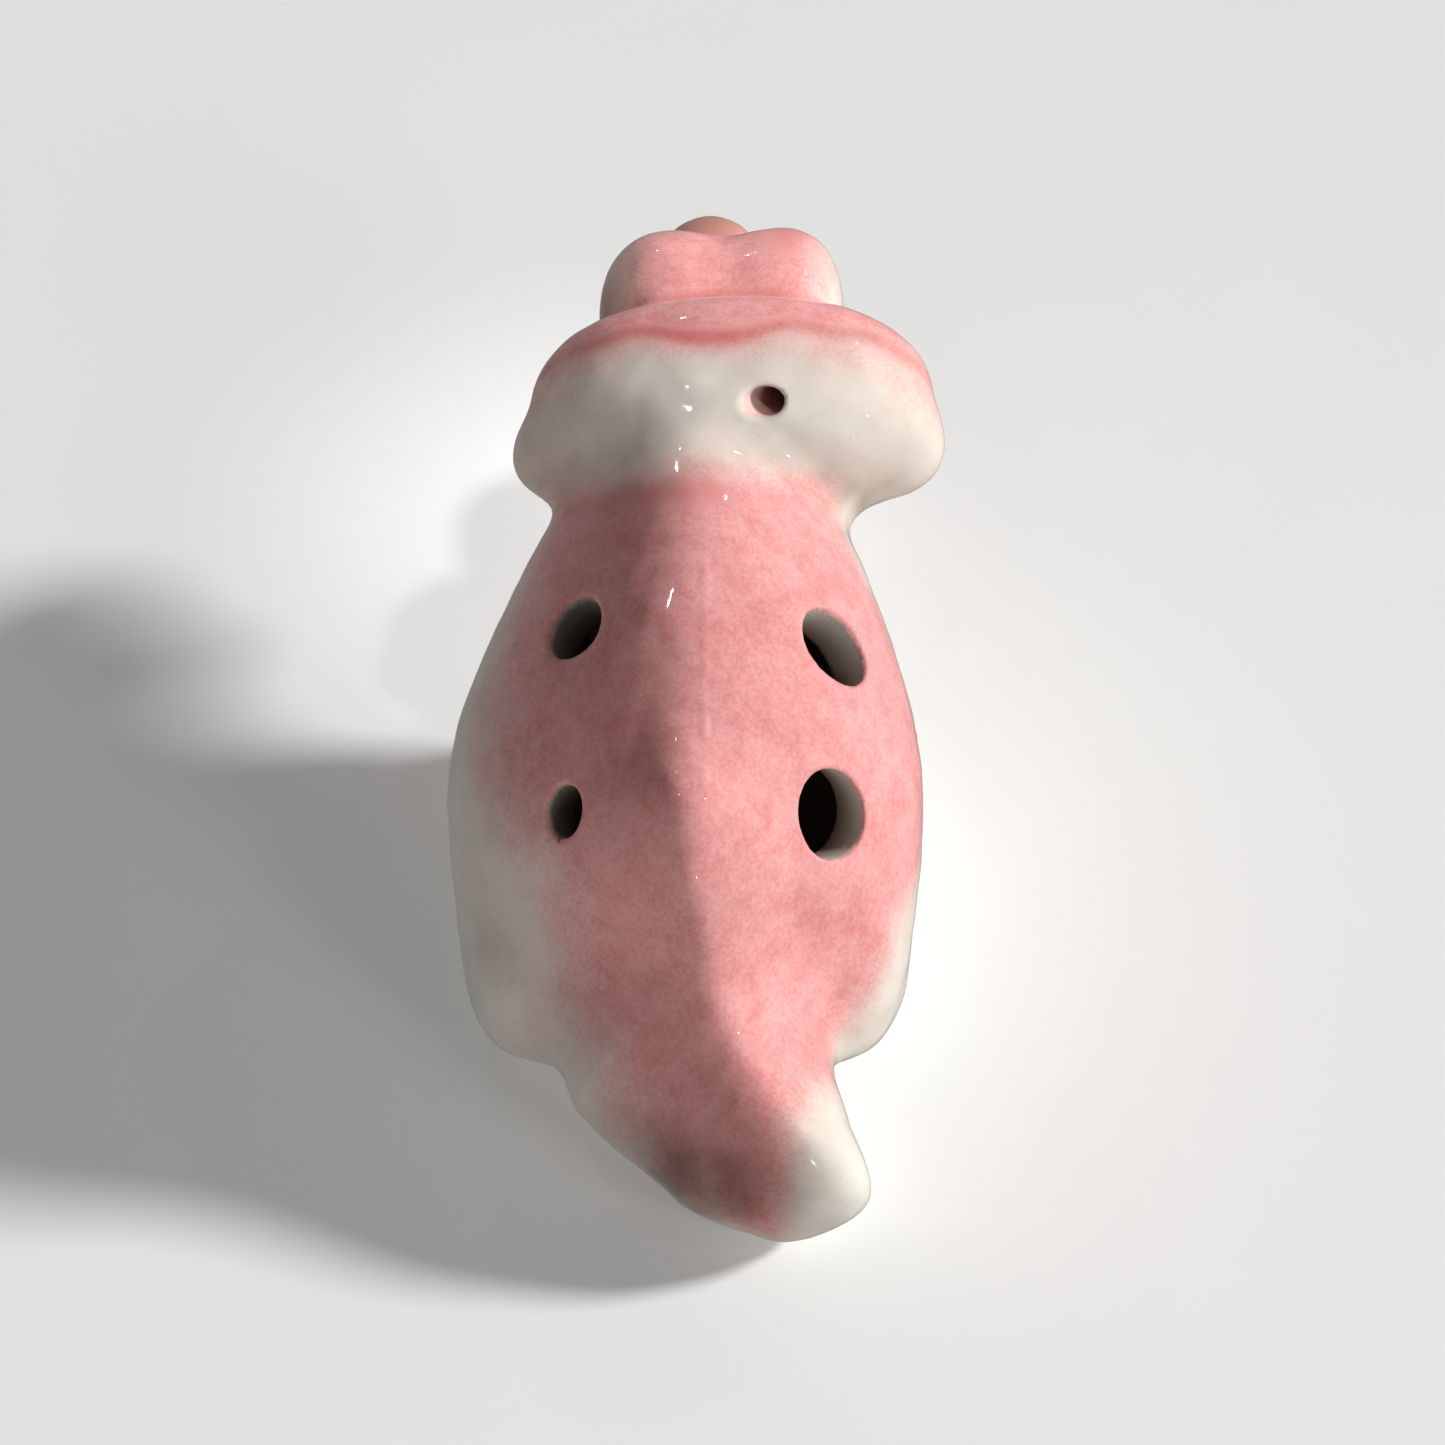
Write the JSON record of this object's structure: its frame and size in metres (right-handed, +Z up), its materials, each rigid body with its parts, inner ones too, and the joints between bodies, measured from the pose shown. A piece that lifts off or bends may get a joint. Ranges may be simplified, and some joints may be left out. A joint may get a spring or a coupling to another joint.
{
  "type": "ocarina",
  "caption": "Glazed ceramic ocarina shaped as a plump long-tailed animal, with graded finger holes in its back, a blowing slot in its tail and a cord hole in its nape.",
  "frame": {"origin": "middle of the footprint, on the plane the soles, belly and tail rest on", "axes": "+Y from the tail to the muzzle, +X to the animal's right, +Z up"},
  "size_m": [0.0512, 0.107, 0.0567],
  "materials": {
    "pink_glaze": "gloss",
    "cream_glaze": "gloss",
    "bare_clay": "matte",
    "eye_glaze": "gloss"
  },
  "bodies": {
    "root": {"body_shell_left": "pink_glaze", "body_shell_right": "pink_glaze", "neck_plug": "bare_clay", "haunch_left": "cream_glaze", "haunch_right": "cream_glaze", "hind_foot_left": "cream_glaze", "hind_foot_right": "cream_glaze", "front_foot_left": "cream_glaze", "front_foot_right": "cream_glaze", "tail_mouthpiece": "pink_glaze", "windway_cover": "cream_glaze", "labium_insert": "cream_glaze", "head_back": "cream_glaze", "head_front": "pink_glaze", "ear_left": "cream_glaze", "ear_right": "cream_glaze", "muzzle_left": "pink_glaze", "muzzle_right": "pink_glaze", "chin": "pink_glaze", "eye_left": "eye_glaze", "eye_right": "eye_glaze"}
  },
  "joints": []
}
